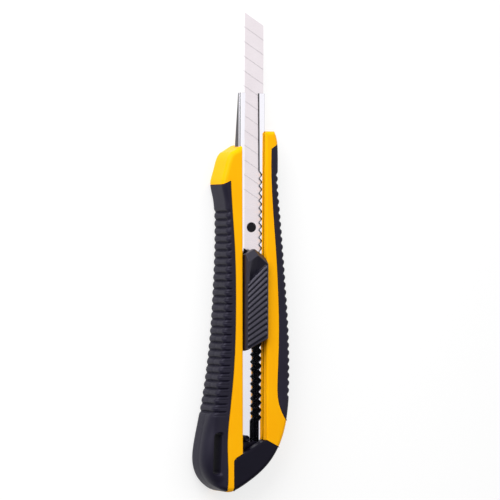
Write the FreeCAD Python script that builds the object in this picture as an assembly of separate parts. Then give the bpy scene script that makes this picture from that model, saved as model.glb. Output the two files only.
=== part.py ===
import FreeCAD
import Part
import math
import os

from FreeCAD import Vector

# Snap-off knife with a 9 mm blade, lying on its flat back.
# X runs across the knife, Y along it towards the blade's tip, Z up to the thumb button.
# The sketch frame has X = 0 on the channel's centre line, Y = 0 at the heel and Z = 0 on the back.
# Every solid is moved at the end so that the origin is under the middle of the whole knife.

# ---------------------------------------------------------------- driving dimensions (mm)

# Blade: 80 mm long, twelve 5 mm segments and a 20 mm tail
BLADE_WIDTH = 9.0
BLADE_THICK = 0.38
BLADE_LENGTH = 80.0
SEGMENT = 5.0
SCORES = 12
SCORE_DEPTH = 0.08
SCORE_WIDTH = 0.16
SCORE_LIFT = 0.02
SCORE_SLOPE = math.tan(math.radians(30.0))
BEVEL_WIDTH = 1.7
EDGE_HALF = 0.03
BLADE_HOLE_R = 1.7
HOLE_TO_TAIL = 8.8
BLADE_TIP_Y = 163.6

# Blade channel: folded sheet steel with a rack of teeth on its right lip
STEEL = 0.45
BEND_RADIUS = 0.7
CHANNEL_HALF = 5.1
CHANNEL_DEPTH = 3.6
CHANNEL_Y0 = 12.0
NOSE_Y = 135.3
NOSE_TAPER = 17.3
NOSE_DEPTH = 1.6
LIP_TOP_Z = 9.4
LIP_LEFT_X = -3.35
LIP_LEFT_NOSE_X = -2.8
LIP_RIGHT_NOSE_X = 2.65
RACK_TIP_X = 2.9
RACK_VALLEY_X = 3.85
RACK_PITCH = 2.5
RACK_FLANK = 0.4
RACK_TEETH = 34
RACK_Y0 = 23.9

# Housing
FRONT_Z_HEEL = 12.25
FRONT_Z_TOP = 11.0
FRONT_Z_TOP_Y = 118.0
SLOT_HALF = 4.65
SLOT_FILLET = 0.5
BACK_FILLET = 2.6
FRONT_FILLET = 1.6
FIT = 0.05
SKIN = 2.0
RELIEF_HALF = 3.9
RELIEF_Z0 = 2.2
RELIEF_Y = (24.0, 108.0)
THROAT = [(-5.0, 117.35), (4.65, 119.0)]
ARM_CORNER_R = 0.9

# Grips
LANYARD_SLOT_X = -14.35
LANYARD_SLOT_Y = (6.6, 20.4)
LANYARD_SLOT_WIDTH = 3.0
LANYARD_WALL = 1.4
FINGER_GROOVES = 27
FINGER_GROOVE_Y = (27.5, 94.9)
PALM_GROOVES = 30
PALM_GROOVE_Y = (33.2, 107.9)
GROOVE_RADIUS = 1.0
GROOVE_DEPTH = 0.7

# Slider, carrier and lock
BUTTON_HALF = 4.25
BUTTON_FOOT_Y = 48.0
BUTTON_SLANT = 0.48
BUTTON_NOSE = [(-4.25, 80.6), (-1.3, 82.6), (4.25, 77.5)]
BUTTON_Z0 = 10.4
BUTTON_Z1 = 13.5
BUTTON_FILLET = 0.7
BUTTON_RIM = 0.6
SCOOP_RADIUS = 16.0
SCOOP_CENTRE = (0.4, 76.6)
SCOOP_DEPTH = 1.1
RIB_COUNT = 11
RIB_PITCH = 1.93
RIB_SLANT = 0.7
RIB_DEPTH = 0.4
RIB_Y0 = 52.7
PRESS_TRAVEL = 0.9
CARRIER_HALF = 4.5
CARRIER_Y = (52.0, 94.0)
CARRIER_STEP_Y = 84.0
CARRIER_NOSE_Z = 7.15
CARRIER_GAP = 0.06
SEAT_GAP = 0.1
PEG_R = 1.62
PEG_PROUD = 0.35
POCKET_Y = (56.5, 77.5)
POCKET_Z = 7.0
POCKET_X = (-3.1, 3.95)
POST_Y = (59.0, 75.0)
POST_HALF = 1.6
POST_X = (-2.3, 2.0)
POST_Z0 = 8.0
PAWL_Y = (61.6, 72.4)
PAWL_TEETH = 3
PAWL_CLEAR = 0.07
PAWL_BACK = 0.12
PAWL_INSET = 0.5
SPRING_THICK = 0.25
SPRING_HALF_WIDTH = 1.6
SPRING_SAG = 1.65
SPRING_END = 0.4

# End cap
CAP_LEFT_X = -8.3
CAP_GAP = 0.12
CAP_TOP = [(-7.4, 12.0), (3.2, 17.5), (4.6, 17.7), (10.6, 14.6)]
TONGUE_Y1 = 17.0
NUB_CENTRE = (-1.9, 18.2)
NUB_R = 1.15
NUB_TOP_Z = 9.3

CHANNEL_Z0 = LIP_TOP_Z - CHANNEL_DEPTH
FLOOR_Z = CHANNEL_Z0 + STEEL
LIP_UNDER_Z = LIP_TOP_Z - STEEL
CARRIER_Z0 = FLOOR_Z + CARRIER_GAP
CARRIER_Z1 = LIP_UNDER_Z - CARRIER_GAP
BLADE_Z1 = LIP_UNDER_Z - CARRIER_GAP
BLADE_Z0 = BLADE_Z1 - BLADE_THICK

# Cutting shapes run this far past what they cut; TALL and FAR reach beyond the whole knife
OVERCUT = 0.2
TALL = 30.0
FAR = 60.0
SIDE_Y = (-10.0, 140.0)

# Outline of the handle seen from the front: one smooth curve from the finger-guard corner
# round the heel and up the palm side, and a straight slanted shoulder across the top.
HANDLE_CURVE = [
    (-8.5, 115.1), (-9.45, 113.9), (-10.3, 111.8), (-11.1, 109.0), (-12.2, 104.6),
    (-11.3, 100.0), (-10.6, 93.0), (-10.6, 82.0),
    (-11.1, 70.6), (-12.1, 55.0), (-14.0, 39.3), (-17.0, 23.1), (-18.6, 15.2), (-18.8, 10.4),
    (-17.4, 5.9), (-14.2, 2.3), (-9.6, 0.4), (-5.4, 1.7), (-1.3, 4.0), (5.8, 9.5), (9.7, 14.9),
    (12.1, 20.8), (13.6, 28.5), (14.2, 42.0), (13.9, 55.3), (12.8, 70.6), (10.8, 93.6), (9.8, 106.0),
    (9.75, 116.0), (9.45, 119.2), (8.35, 122.5),
]
HANDLE_TOP = [(4.4, 122.5)]

# Seam between the finger grip and the housing, top to heel
FINGER_SEAM = [
    (-9.15, 105.5), (-8.6, 96.0), (-7.7, 83.8), (-7.3, 70.0), (-7.4, 56.6), (-8.0, 43.1),
    (-9.5, 28.8), (-10.6, 17.3), (-10.4, 8.0), (-10.9, -1.0),
]
FINGER_GRIP_TOP = (-16.0, 102.6)

# Seam between the palm grip and the housing, top to heel
PALM_SEAM = [
    (6.6, 116.5), (6.9, 99.0), (8.1, 83.8), (9.15, 65.1), (9.3, 50.9), (8.75, 37.3),
    (9.2, 30.2), (10.4, 27.0), (12.2, 24.2), (15.5, 22.9),
]
PALM_GRIP_TOP = (16.0, 122.9)


# ---------------------------------------------------------------- helpers

def spline_edge(points, z):
    curve = Part.BSplineCurve()
    curve.interpolate([Vector(x, y, z) for x, y in points])
    return curve.toShape()


def box(x_range, y_range, z_range):
    size = [high - low for low, high in (x_range, y_range, z_range)]
    corner = Vector(x_range[0], y_range[0], z_range[0])
    return Part.makeBox(size[0], size[1], size[2], corner)


def prism(points, z_range):
    """Straight-sided block with the given plan outline."""
    corners = [Vector(x, y, z_range[0]) for x, y in points]
    face = Part.Face(Part.makePolygon(corners + corners[:1]))
    return face.extrude(Vector(0, 0, z_range[1] - z_range[0]))


def side_prism(points, x_range):
    """Block with the given outline in the Y-Z plane."""
    corners = [Vector(x_range[0], y, z) for y, z in points]
    face = Part.Face(Part.makePolygon(corners + corners[:1]))
    return face.extrude(Vector(x_range[1] - x_range[0], 0, 0))


def seam_region(seam, outside):
    """Everything beyond a seam curve, as a tall block: outside lists the far corners."""
    edge = spline_edge(seam, -1.0)
    path = [seam[-1]] + outside + [seam[0]]
    rest = Part.makePolygon([Vector(x, y, -1.0) for x, y in path])
    face = Part.Face(Part.Wire(Part.__sortEdges__([edge] + rest.Edges)))
    return face.extrude(Vector(0, 0, TALL))


def rounded_slot(centre_x, y_range, width):
    """Plan block with round ends, along Y, right through the thickness."""
    radius = width / 2.0
    low, high = y_range[0] + radius, y_range[1] - radius
    solid = box((centre_x - radius, centre_x + radius), (low, high), (-1.0, TALL))
    for y in (low, high):
        solid = solid.fuse(Part.makeCylinder(radius, TALL + 1.0, Vector(centre_x, y, -1.0)))
    return solid.removeSplitter()


def edges_where(shape, test):
    return [edge for edge in shape.Edges if test(edge.BoundBox)]


def front_z(y):
    return FRONT_Z_HEEL + (FRONT_Z_TOP - FRONT_Z_HEEL) * y / FRONT_Z_TOP_Y


def side_x(face, y):
    """Left and right edge of the handle's outline at height y."""
    bounds = Part.makeLine(Vector(-FAR, y, 0), Vector(FAR, y, 0)).common(face).BoundBox
    return bounds.XMin, bounds.XMax


# ---------------------------------------------------------------- handle body and its split

def handle_face():
    curve = spline_edge(HANDLE_CURVE, 0.0)
    path = [HANDLE_CURVE[-1]] + HANDLE_TOP + [HANDLE_CURVE[0]]
    top = Part.makePolygon([Vector(x, y, 0) for x, y in path])
    return Part.Face(Part.Wire(Part.__sortEdges__([curve] + top.Edges)))


def core_face():
    """Outline of the hard core: the handle's curve moved inwards by the grips' skin thickness."""
    curve = spline_edge(HANDLE_CURVE, 0.0).Curve
    points = []
    for x, y in HANDLE_CURVE:
        tangent = curve.tangent(curve.parameter(Vector(x, y, 0.0)))[0]
        points.append((x - SKIN * tangent.y, y + SKIN * tangent.x))
    inner = spline_edge(points, 0.0)
    return Part.Face(Part.Wire([inner, Part.makeLine(inner.Vertexes[-1].Point, inner.Vertexes[0].Point)]))


def handle_blank(face):
    """The whole handle's outer shape: extruded outline, tilted front face, rounded edges."""
    solid = face.extrude(Vector(0, 0, TALL))
    low, high = SIDE_Y
    wedge = side_prism([(low, -1.0), (high, -1.0), (high, front_z(high)), (low, front_z(low))], (-FAR, FAR))
    solid = solid.common(wedge)
    back = edges_where(solid, lambda b: b.ZMax < 0.01)
    solid = solid.makeFillet(BACK_FILLET, back)
    front = edges_where(solid, lambda b: b.ZMin > FRONT_Z_TOP - 1.0)
    return solid.makeFillet(FRONT_FILLET, front)


def cap_region():
    left_foot = (CAP_LEFT_X, -2.0)
    left_top = (CAP_LEFT_X, 11.0)
    right = [(16.0, 11.0), (16.0, -2.0)]
    return prism([left_foot, left_top] + CAP_TOP + right, (-1.0, TALL))


def grooves(face, y_range, count, side):
    """Finger grooves: upright cylinders let into the side wall; side is 0 for left, 1 for right."""
    outward = (-1.0, 1.0)[side]
    step = (y_range[1] - y_range[0]) / (count - 1)
    cutters = []
    for index in range(count):
        y = y_range[0] + index * step
        x = side_x(face, y)[side] + outward * (GROOVE_RADIUS - GROOVE_DEPTH)
        cutters.append(Part.makeCylinder(GROOVE_RADIUS, TALL, Vector(x, y, -1.0)))
    return Part.Compound(cutters)


def slot_rim(side):
    """Cutter that rounds one long front edge of the slider's slot, along the tilted front face."""
    y = -5.0
    length = FAR * 3
    wall_x, face_z, radius = side * SLOT_HALF, front_z(y), SLOT_FILLET
    low = Vector(wall_x, y, face_z - radius)
    out = Vector(wall_x + side * radius, y, face_z)
    reach = radius * (1.0 - math.sqrt(0.5))
    middle = Vector(wall_x + side * reach, y, face_z - reach)
    above, inside = Vector(0, 0, 1.0), Vector(-side, 0, 0)
    clear = Part.makePolygon([out, out + above, low + inside + above * (1.0 + radius), low + inside, low])
    wire = Part.Wire(Part.__sortEdges__([Part.Arc(low, middle, out).toShape()] + clear.Edges))
    return Part.Face(wire).extrude(Vector(0, length, front_z(y + length) - face_z))


def arm_corner():
    """Cutter that rounds the corner between the slot and the top of the palm-side arm."""
    top, reach = HANDLE_TOP[0][1], ARM_CORNER_R
    square = box((SLOT_HALF - 1.0, SLOT_HALF + reach), (top - reach, top + 1.0), (-1.0, TALL))
    return square.cut(Part.makeCylinder(reach, TALL + 1.0, Vector(SLOT_HALF + reach, top - reach, -1.0)))


def handle_parts():
    face = handle_face()
    blank = handle_blank(face)
    finger_side = seam_region(FINGER_SEAM, [(-FAR, -1.0), (-FAR, FINGER_GRIP_TOP[1]), FINGER_GRIP_TOP])
    palm_side = seam_region(PALM_SEAM, [(FAR, PALM_SEAM[-1][1]), (FAR, PALM_GRIP_TOP[1]), PALM_GRIP_TOP])
    cap = cap_region()
    lanyard = rounded_slot(LANYARD_SLOT_X, LANYARD_SLOT_Y, LANYARD_SLOT_WIDTH)
    lanyard_wall = rounded_slot(
        LANYARD_SLOT_X,
        (LANYARD_SLOT_Y[0] - LANYARD_WALL, LANYARD_SLOT_Y[1] + LANYARD_WALL),
        LANYARD_SLOT_WIDTH + 2 * LANYARD_WALL)

    # The hard core runs on under both grips, one skin thickness below their surface.
    core = core_face().extrude(Vector(0, 0, TALL))
    high = SIDE_Y[1]
    core = core.common(side_prism(
        [(SKIN, SKIN), (high, SKIN), (high, front_z(high) - SKIN), (SKIN, front_z(SKIN) - SKIN)],
        (-FAR, FAR)))
    outboard = box((-FAR, LANYARD_SLOT_X), (-1.0, LANYARD_SLOT_Y[1]), (-1.0, TALL))
    core = core.cut([lanyard_wall, outboard])

    finger_zone = finger_side.cut(core)
    palm_zone = palm_side.cut(core)
    finger = blank.common(finger_side).cut([core, lanyard])
    palm = blank.common(palm_side).cut(core)

    channel_room = box((-CHANNEL_HALF - FIT, CHANNEL_HALF + FIT), (-5.0, FAR * 3),
                       (CHANNEL_Z0 - FIT, LIP_TOP_Z + FIT))
    slot = box((-SLOT_HALF, SLOT_HALF), (-5.0, FAR * 3), (LIP_TOP_Z, TALL))
    relief = box((-RELIEF_HALF, RELIEF_HALF), RELIEF_Y, (RELIEF_Z0, CHANNEL_Z0))
    rims = [slot_rim(side) for side in (-1.0, 1.0)]
    throat = prism(THROAT + [(THROAT[1][0], FAR * 3), (THROAT[0][0], FAR * 3)], (-1.0, TALL))
    cuts = [finger_zone, palm_zone, cap, channel_room, slot, relief, throat, arm_corner()]
    housing = blank.cut(cuts + rims)

    finger = finger.cut(grooves(face, FINGER_GROOVE_Y, FINGER_GROOVES, 0))
    palm = palm.cut(grooves(face, PALM_GROOVE_Y, PALM_GROOVES, 1))
    cap_solid = blank.common(cap)
    return housing, finger, palm, cap_solid


# ---------------------------------------------------------------- end cap

def end_cap(cap_solid):
    """The cap's block, drawn in by a small gap, with a tongue that plugs the channel."""
    moved = cap_region()
    moved.translate(Vector(CAP_GAP, -CAP_GAP, 0))
    trimmed = cap_solid.common(moved)
    room = box((-CHANNEL_HALF - FIT, CHANNEL_HALF + FIT), (CHANNEL_Y0 - CAP_GAP, FAR),
               (CHANNEL_Z0 - FIT, LIP_TOP_Z + FIT))
    trimmed = trimmed.cut(room)
    tongue = box((-CARRIER_HALF, CARRIER_HALF), (CHANNEL_Y0 - 3.0, TONGUE_Y1), (CARRIER_Z0, CARRIER_Z1))
    nub = Part.makeCylinder(NUB_R, NUB_TOP_Z - CARRIER_Z0, Vector(NUB_CENTRE[0], NUB_CENTRE[1], CARRIER_Z0))
    stalk = box((NUB_CENTRE[0] - NUB_R, NUB_CENTRE[0] + NUB_R), (CHANNEL_Y0 - 3.0, NUB_CENTRE[1]),
                (CARRIER_Z0, NUB_TOP_Z))
    return trimmed.fuse([tongue, nub, stalk]).removeSplitter()


# ---------------------------------------------------------------- steel channel

def rack_outline():
    """Right edge of the channel's opening, heel to nose: straight, toothed, straight."""
    points = [(RACK_TIP_X, CHANNEL_Y0 - 1.0)]
    for tooth in range(RACK_TEETH):
        y = RACK_Y0 + tooth * RACK_PITCH
        points.append((RACK_TIP_X, y))
        points.append((RACK_VALLEY_X, y + RACK_FLANK * RACK_PITCH))
        points.append((RACK_VALLEY_X, y + (1.0 - RACK_FLANK) * RACK_PITCH))
    points.append((RACK_TIP_X, RACK_Y0 + RACK_TEETH * RACK_PITCH))
    points.append((LIP_RIGHT_NOSE_X, NOSE_Y + 1.0))
    return points


def blade_channel():
    taper_y = NOSE_Y - NOSE_TAPER
    outer = side_prism([
        (CHANNEL_Y0, CHANNEL_Z0), (taper_y, CHANNEL_Z0), (NOSE_Y, LIP_TOP_Z - NOSE_DEPTH),
        (NOSE_Y, LIP_TOP_Z), (CHANNEL_Y0, LIP_TOP_Z)], (-CHANNEL_HALF, CHANNEL_HALF))
    long_edges = edges_where(outer, lambda b: b.XLength < 0.01 and b.YLength > 5.0)
    outer = outer.makeFillet(BEND_RADIUS, long_edges)
    inner_half = CHANNEL_HALF - STEEL
    rise = (CHANNEL_DEPTH - NOSE_DEPTH) / NOSE_TAPER
    nose_floor = FLOOR_Z + rise * (NOSE_TAPER + 1.0)
    hollow = side_prism([
        (CHANNEL_Y0 - 1.0, FLOOR_Z), (taper_y, FLOOR_Z), (NOSE_Y + 1.0, nose_floor),
        (NOSE_Y + 1.0, LIP_UNDER_Z), (CHANNEL_Y0 - 1.0, LIP_UNDER_Z)], (-inner_half, inner_half))
    taper_start = RACK_Y0 + RACK_TEETH * RACK_PITCH
    left = [(LIP_LEFT_NOSE_X, NOSE_Y + 1.0), (LIP_LEFT_X, taper_start), (LIP_LEFT_X, CHANNEL_Y0 - 1.0)]
    opening = prism(rack_outline() + left, (LIP_UNDER_Z - OVERCUT, LIP_TOP_Z + OVERCUT))
    return outer.cut(hollow).cut(opening)


# ---------------------------------------------------------------- blade

def blade_tip_y(x):
    """Y of the slanted tip line at x; the tail and every score line run parallel to it."""
    return BLADE_TIP_Y - (x + BLADE_WIDTH / 2.0) * SCORE_SLOPE


def snap_off_blade():
    left, right = -BLADE_WIDTH / 2.0, BLADE_WIDTH / 2.0
    tail = BLADE_LENGTH
    outline = [(left, blade_tip_y(left)), (right, blade_tip_y(right)),
               (right, blade_tip_y(right) - tail), (left, blade_tip_y(left) - tail)]
    solid = prism(outline, (BLADE_Z0, BLADE_Z1))
    middle = (BLADE_Z0 + BLADE_Z1) / 2.0
    bevel_x = left + BEVEL_WIDTH
    for z, edge_z in ((BLADE_Z1, middle + EDGE_HALF), (BLADE_Z0, middle - EDGE_HALF)):
        corners = [Vector(left - OVERCUT, 0, edge_z), Vector(bevel_x, 0, z), Vector(left - OVERCUT, 0, z)]
        wedge = Part.Face(Part.makePolygon(corners + corners[:1]))
        solid = solid.cut(wedge.extrude(Vector(0, FAR * 4, 0)))
    for index in range(1, SCORES + 1):
        solid = solid.cut(score_groove(index, left, right))
    hole_centre = Vector(0, blade_tip_y(0) - tail + HOLE_TO_TAIL, BLADE_Z0 - 1.0)
    return solid.cut(Part.makeCylinder(BLADE_HOLE_R, 2.0, hole_centre))


def score_groove(index, left, right):
    """V-groove across the front of the blade, parallel to its tip."""
    start = Vector(left - 1.0, blade_tip_y(left - 1.0) - index * SEGMENT, BLADE_Z1)
    end = Vector(right + 1.0, blade_tip_y(right + 1.0) - index * SEGMENT, BLADE_Z1)
    half = SCORE_WIDTH / 2.0
    section = [(-half, SCORE_LIFT), (half, SCORE_LIFT), (0.0, -SCORE_DEPTH)]
    corners = [start + Vector(0, y, z) for y, z in section]
    return Part.Face(Part.makePolygon(corners + corners[:1])).extrude(end - start)


# ---------------------------------------------------------------- carrier, pawl, spring, button

def blade_carrier():
    """Sled in the channel: a low nose with the peg, and a full-depth rear with the lock's pocket."""
    peg_y = blade_tip_y(0) - BLADE_LENGTH + HOLE_TO_TAIL
    half = (-CARRIER_HALF, CARRIER_HALF)
    nose = box(half, (CARRIER_STEP_Y - 2.0, CARRIER_Y[1]), (CARRIER_NOSE_Z, BLADE_Z0))
    body = box(half, (CARRIER_Y[0], CARRIER_STEP_Y), (CARRIER_Z0, CARRIER_Z1))
    seat_corner = blade_tip_y(-CARRIER_HALF) - BLADE_LENGTH
    seat_slope = SCORE_SLOPE * 2.0 * CARRIER_HALF
    seat = prism([
        (-CARRIER_HALF - 1.0, seat_corner + SCORE_SLOPE - SEAT_GAP),
        (CARRIER_HALF + 1.0, seat_corner - seat_slope - SCORE_SLOPE - SEAT_GAP),
        (CARRIER_HALF + 1.0, FAR * 2), (-CARRIER_HALF - 1.0, FAR * 2)], (BLADE_Z0, TALL))
    pocket = box(POCKET_X, POCKET_Y, (POCKET_Z, TALL))
    peg = Part.makeCylinder(PEG_R, BLADE_Z1 + PEG_PROUD - CARRIER_NOSE_Z, Vector(0, peg_y, CARRIER_NOSE_Z))
    return body.fuse(nose).cut(seat).cut(pocket).fuse(peg).removeSplitter()


def lock_pawl():
    """Toothed plate level with the channel's lip, its teeth in the rack's valleys."""
    middle = (PAWL_Y[0] + PAWL_Y[1]) / 2.0
    first = round((middle - RACK_Y0) / RACK_PITCH - 0.5) - (PAWL_TEETH - 1) // 2
    plate_x = RACK_TIP_X - PAWL_BACK
    left_x = LIP_LEFT_X + PAWL_INSET
    points = [(left_x, PAWL_Y[1]), (left_x, PAWL_Y[0]), (plate_x, PAWL_Y[0])]
    reach = RACK_VALLEY_X - PAWL_CLEAR
    for tooth in range(PAWL_TEETH):
        y = RACK_Y0 + (first + tooth + 0.5) * RACK_PITCH
        root_half = 0.5 * RACK_PITCH - 2.0 * PAWL_CLEAR
        tip_half = (0.5 - RACK_FLANK) * RACK_PITCH - PAWL_CLEAR
        points += [(plate_x, y - root_half), (reach, y - tip_half), (reach, y + tip_half),
                   (plate_x, y + root_half)]
    points.append((plate_x, PAWL_Y[1]))
    return prism(points, (LIP_UNDER_Z, LIP_TOP_Z))


def lock_spring():
    """Bowed leaf: its ends stand on the carrier's pocket floor, its crown touches the pawl."""
    crown_z = LIP_UNDER_Z
    foot_z = crown_z - SPRING_SAG
    ends = (PAWL_Y[0] + SPRING_END, PAWL_Y[1] - SPRING_END)
    middle = (ends[0] + ends[1]) / 2.0

    def bow(lift):
        first = Vector(-SPRING_HALF_WIDTH, ends[0], foot_z + lift)
        crown = Vector(-SPRING_HALF_WIDTH, middle, crown_z - SPRING_THICK + lift)
        last = Vector(-SPRING_HALF_WIDTH, ends[1], foot_z + lift)
        return Part.Arc(first, crown, last).toShape()

    lower, upper = bow(0.0), bow(SPRING_THICK)
    sides = [Part.makeLine(Vector(-SPRING_HALF_WIDTH, y, foot_z),
                           Vector(-SPRING_HALF_WIDTH, y, foot_z + SPRING_THICK)) for y in ends]
    face = Part.Face(Part.Wire(Part.__sortEdges__([lower, upper] + sides)))
    return face.extrude(Vector(2.0 * SPRING_HALF_WIDTH, 0, 0))


def slider_button():
    """Thumb button: slanted foot, rounded nose, thumb scoop, diagonal ribs and two guide posts."""
    rise = 2.0 * BUTTON_HALF * BUTTON_SLANT
    left_nose, crest, right_nose = [Vector(x, y, BUTTON_Z0) for x, y in BUTTON_NOSE]
    nose = Part.Arc(left_nose, crest, right_nose).toShape()
    foot = Part.makePolygon([
        right_nose, Vector(BUTTON_HALF, BUTTON_FOOT_Y + rise, BUTTON_Z0),
        Vector(-BUTTON_HALF, BUTTON_FOOT_Y, BUTTON_Z0), left_nose])
    face = Part.Face(Part.Wire(Part.__sortEdges__([nose] + foot.Edges)))
    solid = face.extrude(Vector(0, 0, BUTTON_Z1 - BUTTON_Z0))
    top = edges_where(solid, lambda b: b.ZMin > BUTTON_Z1 - 0.01)
    solid = solid.makeFillet(BUTTON_FILLET, top)
    scoop_z = BUTTON_Z1 - SCOOP_DEPTH + SCOOP_RADIUS
    solid = solid.cut(Part.makeSphere(SCOOP_RADIUS, Vector(SCOOP_CENTRE[0], SCOOP_CENTRE[1], scoop_z)))
    for index in range(RIB_COUNT):
        solid = solid.cut(button_groove(RIB_Y0 + index * RIB_PITCH))
    for y in POST_Y:
        solid = solid.fuse(box(POST_X, (y - POST_HALF, y + POST_HALF), (POST_Z0, BUTTON_Z0)))
    pad = box(POST_X, (PAWL_Y[0], PAWL_Y[1]), (LIP_TOP_Z, BUTTON_Z0))
    return solid.fuse(pad).removeSplitter()


def button_groove(y):
    """Half-round diagonal groove across the button's top."""
    reach = BUTTON_HALF - BUTTON_RIM
    left = Vector(-reach, y - reach * RIB_SLANT, BUTTON_Z1)
    right = Vector(reach, y + reach * RIB_SLANT, BUTTON_Z1)
    along = right - left
    return Part.makeCylinder(RIB_DEPTH, along.Length, left, along)


# ---------------------------------------------------------------- build and export

def build():
    housing, finger, palm, cap_solid = handle_parts()
    return {
        "housing": housing,
        "finger_grip": finger,
        "palm_grip": palm,
        "end_cap": end_cap(cap_solid),
        "blade_channel": blade_channel(),
        "snap_off_blade": snap_off_blade(),
        "blade_carrier": blade_carrier(),
        "lock_pawl": lock_pawl(),
        "lock_spring": lock_spring(),
        "slider_button": slider_button(),
    }


def main():
    parts = build()
    bounds = FreeCAD.BoundBox()
    for shape in parts.values():
        bounds.add(shape.optimalBoundingBox())
    origin = Vector((bounds.XMin + bounds.XMax) / 2.0, (bounds.YMin + bounds.YMax) / 2.0, bounds.ZMin)
    os.makedirs("parts", exist_ok=True)
    for name, shape in parts.items():
        shape.translate(origin * -1.0)
        shape.exportStep("parts/" + name + ".step")
        print(name, len(shape.Solids), "solid", "valid" if shape.isValid() else "NOT VALID",
              round(shape.Volume, 2), "mm3")
    print("origin in the sketch frame", origin)


main()
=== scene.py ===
import math

import bpy
import bmesh
import numpy as np
from mathutils import Matrix, Vector


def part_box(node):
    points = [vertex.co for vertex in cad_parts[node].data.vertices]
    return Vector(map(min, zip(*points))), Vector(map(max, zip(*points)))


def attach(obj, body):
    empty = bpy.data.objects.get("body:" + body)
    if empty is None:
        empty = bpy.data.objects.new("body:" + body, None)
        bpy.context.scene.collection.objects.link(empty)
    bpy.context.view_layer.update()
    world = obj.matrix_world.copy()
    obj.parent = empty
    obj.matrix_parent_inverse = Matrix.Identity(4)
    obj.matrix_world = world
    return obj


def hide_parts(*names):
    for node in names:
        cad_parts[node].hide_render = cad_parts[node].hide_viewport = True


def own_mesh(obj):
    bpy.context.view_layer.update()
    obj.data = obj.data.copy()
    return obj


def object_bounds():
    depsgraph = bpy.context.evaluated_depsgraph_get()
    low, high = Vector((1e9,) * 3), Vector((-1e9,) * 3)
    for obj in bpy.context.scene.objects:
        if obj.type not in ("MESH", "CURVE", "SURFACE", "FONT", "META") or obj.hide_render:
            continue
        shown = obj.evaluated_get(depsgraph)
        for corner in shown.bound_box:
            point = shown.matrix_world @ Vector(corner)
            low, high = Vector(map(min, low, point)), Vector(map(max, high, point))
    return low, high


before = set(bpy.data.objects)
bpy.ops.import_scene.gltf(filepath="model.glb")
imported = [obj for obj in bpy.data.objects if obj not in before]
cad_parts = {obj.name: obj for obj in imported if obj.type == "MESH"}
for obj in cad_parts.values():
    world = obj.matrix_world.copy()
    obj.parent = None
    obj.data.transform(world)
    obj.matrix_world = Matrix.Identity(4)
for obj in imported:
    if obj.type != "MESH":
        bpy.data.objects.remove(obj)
cad_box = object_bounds()

MM = 0.001

# ---------------------------------------------------------------- the knife's own coordinates
# X runs across from the blade channel's centre line, Y up from the heel, Z up from the flat back.
# All shapes below are worked out in millimetres, and place() or new_object() puts them in the row frame.

NOSE_Y = 135.3
channel_low, channel_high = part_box("blade_channel")
ORIGIN = np.array(((channel_low.x + channel_high.x) / 2.0, channel_high.y - NOSE_Y * MM, cad_box[0][2]))


def place(x, y, z):
    """A point given in the knife's own coordinates, as a vector in the row frame."""
    return Vector(ORIGIN + np.array((x, y, z)) * MM)


# ---------------------------------------------------------------- dimensions shared with the frame (mm)

FRONT_Z_HEEL = 12.25
FRONT_FALL = 1.25 / 118.0
FRONT_FILLET = 1.6
BACK_FILLET = 2.6
INSET = 0.04

HANDLE_CURVE = [
    (-8.5, 115.1), (-9.45, 113.9), (-10.3, 111.8), (-11.1, 109.0), (-12.2, 104.6),
    (-11.3, 100.0), (-10.6, 93.0), (-10.6, 82.0),
    (-11.1, 70.6), (-12.1, 55.0), (-14.0, 39.3), (-17.0, 23.1), (-18.6, 15.2), (-18.8, 10.4),
    (-17.4, 5.9), (-14.2, 2.3), (-9.6, 0.4), (-5.4, 1.7), (-1.3, 4.0), (5.8, 9.5), (9.7, 14.9),
    (12.1, 20.8), (13.6, 28.5), (14.2, 42.0), (13.9, 55.3), (12.8, 70.6), (10.8, 93.6), (9.8, 106.0),
    (9.75, 116.0), (9.45, 119.2), (8.35, 122.5),
]
FINGER_SEAM = [
    (-9.15, 105.5), (-8.6, 96.0), (-7.7, 83.8), (-7.3, 70.0), (-7.4, 56.6), (-8.0, 43.1),
    (-9.5, 28.8), (-10.6, 17.3), (-10.4, 8.0), (-10.9, -1.0),
]
PALM_SEAM = [
    (6.6, 116.5), (6.9, 99.0), (8.1, 83.8), (9.15, 65.1), (9.3, 50.9), (8.75, 37.3),
    (9.2, 30.2), (10.4, 27.0), (12.2, 24.2), (15.5, 22.9),
]


def front_z(y):
    return FRONT_Z_HEEL - FRONT_FALL * y


TANGENT_STEP = 0.02


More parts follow.
